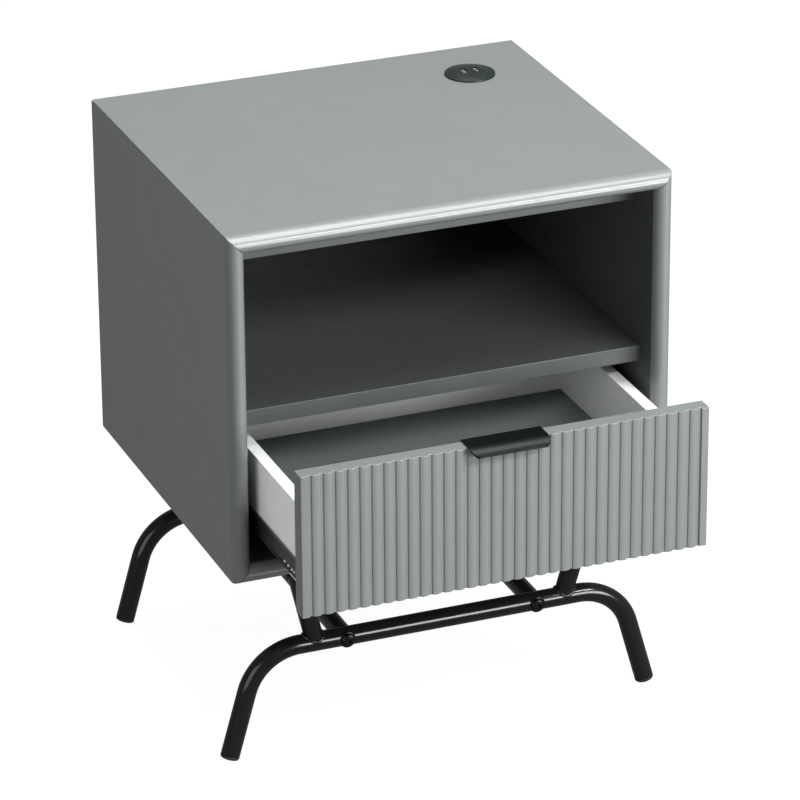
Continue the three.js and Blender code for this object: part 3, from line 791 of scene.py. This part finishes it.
def button_head():
    """Socket bolt head, its face towards -Z and its seat at z = 0, with a short shank behind."""
    radius, height, socket, depth = BOLT["radius"], BOLT["height"], BOLT["socket"], BOLT["depth"]
    profile = [(0, -height)]
    profile += [(radius * 0.62, -height), (radius * 0.66, -height + 0.05)]
    profile += [(radius * math.sin(t), -height * 0.82 * math.cos(t) ** 0.8 - 0.5)
                for t in [math.radians(45 + 42 * i / 8) for i in range(9)]]
    shank, length = BOLT["shank"], BOLT["length"]
    profile += [(radius, 0), (shank, 0), (shank, length), (0, length)]
    return profile


def washer_shape():
    """Flat washer, its face towards -Z and its seat behind it."""
    r, bore, thick, edge = WASHER["radius"], WASHER["bore"], WASHER["thickness"], WASHER["edge"]
    section = [(bore, thick), (bore, 0), (r - edge, 0), (r, edge), (r, thick)]
    sides = 48
    rings = []
    for k in range(sides):
        a = TAU * k / sides
        rings.append([(radius * math.cos(a), radius * math.sin(a), z) for radius, z in section])
    return loft(rings, closed=True)


def build_upright(end, y, side, s):
    """An upright with its two welds, its plate and the plate's screws."""
    lean = LEAN[end]
    at = Matrix.Translation((s * UPRIGHT["foot"], y, 0))
    post = place(upright_shape(s, lean), at)
    piece(f"{end}_post_{side}", post, black, replaces=[f"{end}_upright_{side}"], slot="black_steel")
    curve = [at @ p for p in saddle_curve(s, lean, TUBE + WELD["stand_off"])]
    upper = [at @ p for p in plate_curve(s, lean)]
    beads = join(bead(curve, WELD["saddle"]), bead(upper, WELD["plate"]))
    piece(f"{end}_weld_{side}", beads, black, slot="black_steel")
    dress(f"{end}_glide_{side}", glide_plastic, 0.6)
    dress(f"{end}_bar_nut_{side}", zinc, 0.3)
    plate_at = Matrix.Translation((s * UPRIGHT["top"], y + lean * UPRIGHT["lean"], UNDERSIDE))
    plate = place(rounded_plate(), plate_at)
    node = f"mounting_plate_{end}_{side}"
    piece(f"{end}_plate_{side}", plate, black, replaces=[node], bevel=0.5, slot="black_steel")
    for letter in "ab":
        dress(f"plate_screw_{end}_{side}_{letter}", zinc, 0.4)


def build_bolt(end, y, side, s):
    """A socket bolt and its washer, on the outer side of a rail."""
    lean = LEAN[end]
    facing = Matrix.Rotation(lean * math.pi / 2, 4, "X")
    seat = Matrix.Translation((s * BAR_X, y + lean * (TUBE + BOLT["seat"]), RAIL_Z))
    washer = place(washer_shape(), Matrix.Translation((0, -lean * WASHER["sunk"], 0)) @ seat @ facing)
    piece(f"{end}_washer_{side}", washer, black, bevel=0.2, slot="black_steel")
    head = new_object(f"{end}_socket_bolt_{side}", *lathe(button_head(), 48))
    flats = [TAU * k / 6 for k in range(6)]
    hexagon = [(BOLT["socket"] * math.cos(a), BOLT["socket"] * math.sin(a)) for a in flats]
    levels = (-2 * BOLT["height"], -BOLT["height"] + BOLT["depth"])
    carve(head, [loft([[(a, b, z) for a, b in hexagon] for z in levels])])
    head.data.transform(Matrix.Translation(seat.translation * MM) @ facing)
    finish(head, black_bolt, replaces=[f"{end}_bolt_{side}"], bevel=0.12, slot="black_steel")


def build_base():
    for end, y in RAIL_Y.items():
        rail = place(pipe(leg_stations(), TUBE, TUBE - WALL), Matrix.Translation((0, y, 0)))
        piece(f"{end}_frame_tube", rail, black, replaces=[f"{end}_leg_tube"], slot="black_steel")
        for side, s in SIDES:
            build_upright(end, y, side, s)
            build_bolt(end, y, side, s)
    heading, across = Vector((0, 1, 0)), Vector((1, 0, 0))
    for side, s in SIDES:
        ends = (RAIL_Y["front"] + 1, RAIL_Y["rear"] - 1)
        stations = [(Vector((s * BAR_X, y, RAIL_Z)), heading, across) for y in ends]
        bar = pipe(stations, TUBE - INSET, TUBE - WALL)
        piece(f"cross_tube_{side}", bar, black, replaces=[f"cross_bar_{side}"], slot="black_steel")


# ---- stage, light and camera ----------------------------------------------------------------------------

CAMERA = {
    "azimuth": -21.459, "elevation": 24.202, "roll": -0.392, "distance": 4919.47, "lens": 212.324,
    "target": (100.087, REAR, 179.307),
}


def build_camera():
    azimuth, elevation, roll = (math.radians(CAMERA[k]) for k in ("azimuth", "elevation", "roll"))
    back = Vector((math.sin(azimuth) * math.cos(elevation), -math.cos(azimuth) * math.cos(elevation),
                   math.sin(elevation)))
    right = (-back).cross(Vector((0, 0, 1))).normalized()
    up = right.cross(-back)
    rolled_right = right * math.cos(roll) + up * math.sin(roll)
    rolled_up = -right * math.sin(roll) + up * math.cos(roll)
    data = bpy.data.cameras.new("camera")
    data.lens = CAMERA["lens"]
    data.sensor_width = 36
    data.clip_start, data.clip_end = 0.1, 60
    camera = bpy.data.objects.new("camera", data)
    bpy.context.scene.collection.objects.link(camera)
    turn = Matrix((rolled_right, rolled_up, back)).transposed().to_4x4()
    eye = (Vector(CAMERA["target"]) + back * CAMERA["distance"]) * MM
    camera.matrix_world = Matrix.Translation(eye) @ turn
    bpy.context.scene.camera = camera


def area_light(name, direction, distance, size, power, target=(0, 0, 0.35)):
    """A softbox at a distance along direction from the target, facing it."""
    data = bpy.data.lights.new(name, "AREA")
    data.shape = "RECTANGLE"
    data.size, data.size_y = size
    data.energy = power
    obj = bpy.data.objects.new(name, data)
    bpy.context.scene.collection.objects.link(obj)
    obj.visible_camera = False
    away = Vector(direction).normalized()
    obj.location = Vector(target) + away * distance
    obj.rotation_mode = "QUATERNION"
    obj.rotation_quaternion = away.to_track_quat("Z", "Y")


def build_floor():
    size, steps, level = 14, 8, -0.2
    row = steps + 1
    spots = [size * (i / steps - 0.5) / MM for i in range(row)]
    verts = [(x, y, level) for x in spots for y in spots]
    corners = [i * row + j for i in range(steps) for j in range(steps)]
    faces = [[c, c + row, c + row + 1, c + 1] for c in corners]
    floor = new_object("floor", verts, faces)
    material = bpy.data.materials.new("pale_floor")
    material.use_nodes = True
    shader = material.node_tree.nodes["Principled BSDF"]
    shader.inputs["Base Color"].default_value = (0.05, 0.05, 0.05, 1)
    shader.inputs["Roughness"].default_value = 0.9
    shader.inputs["Emission Color"].default_value = (1, 1, 1, 1)
    shader.inputs["Emission Strength"].default_value = 0.95
    floor.data.materials.append(material)
    floor.visible_diffuse = False
    floor.visible_glossy = False


def build_world():
    """Soft ambient light on the object, and plain white behind it."""
    world = bpy.data.worlds.new("studio")
    bpy.context.scene.world = world
    world.use_nodes = True
    tree = world.node_tree
    ambient = tree.nodes["Background"]
    ambient.inputs["Color"].default_value = (1.0, 0.985, 0.955, 1)
    ambient.inputs["Strength"].default_value = 0.22
    backdrop = tree.nodes.new("ShaderNodeBackground")
    backdrop.inputs["Strength"].default_value = 1.0
    path = tree.nodes.new("ShaderNodeLightPath")
    mix = tree.nodes.new("ShaderNodeMixShader")
    tree.links.new(path.outputs["Is Camera Ray"], mix.inputs["Fac"])
    tree.links.new(ambient.outputs[0], mix.inputs[1])
    tree.links.new(backdrop.outputs[0], mix.inputs[2])
    tree.links.new(mix.outputs[0], tree.nodes["World Output"].inputs["Surface"])

LIGHTS = (
    # name, direction, distance, size, power
    ("overhead", (0.05, 0.05, 1), 2.2, (2.2, 1.5), 88),
    ("key", (0.334, -0.738, 0.585), 2.6, (1.9, 0.2), 70),
    ("low_front", (0.50, -0.85, 0.12), 2.6, (1.7, 0.8), 80),
    ("left_fill", (-1, -0.6, 0.2), 2.5, (1.5, 1.5), 18),
    ("rear_strip", (0.334, 0.679, 0.654), 2.4, (1.8, 0.06), 1.2),
)


def build_stage():
    build_floor()
    build_world()
    for light in LIGHTS:
        area_light(*light)
    bpy.context.scene.view_settings.view_transform = "Standard"
    bpy.context.scene.view_settings.look = "None"


build_stage()
build_camera()
build_cabinet()
build_outlet()
build_drawer()
build_slides()
build_base()
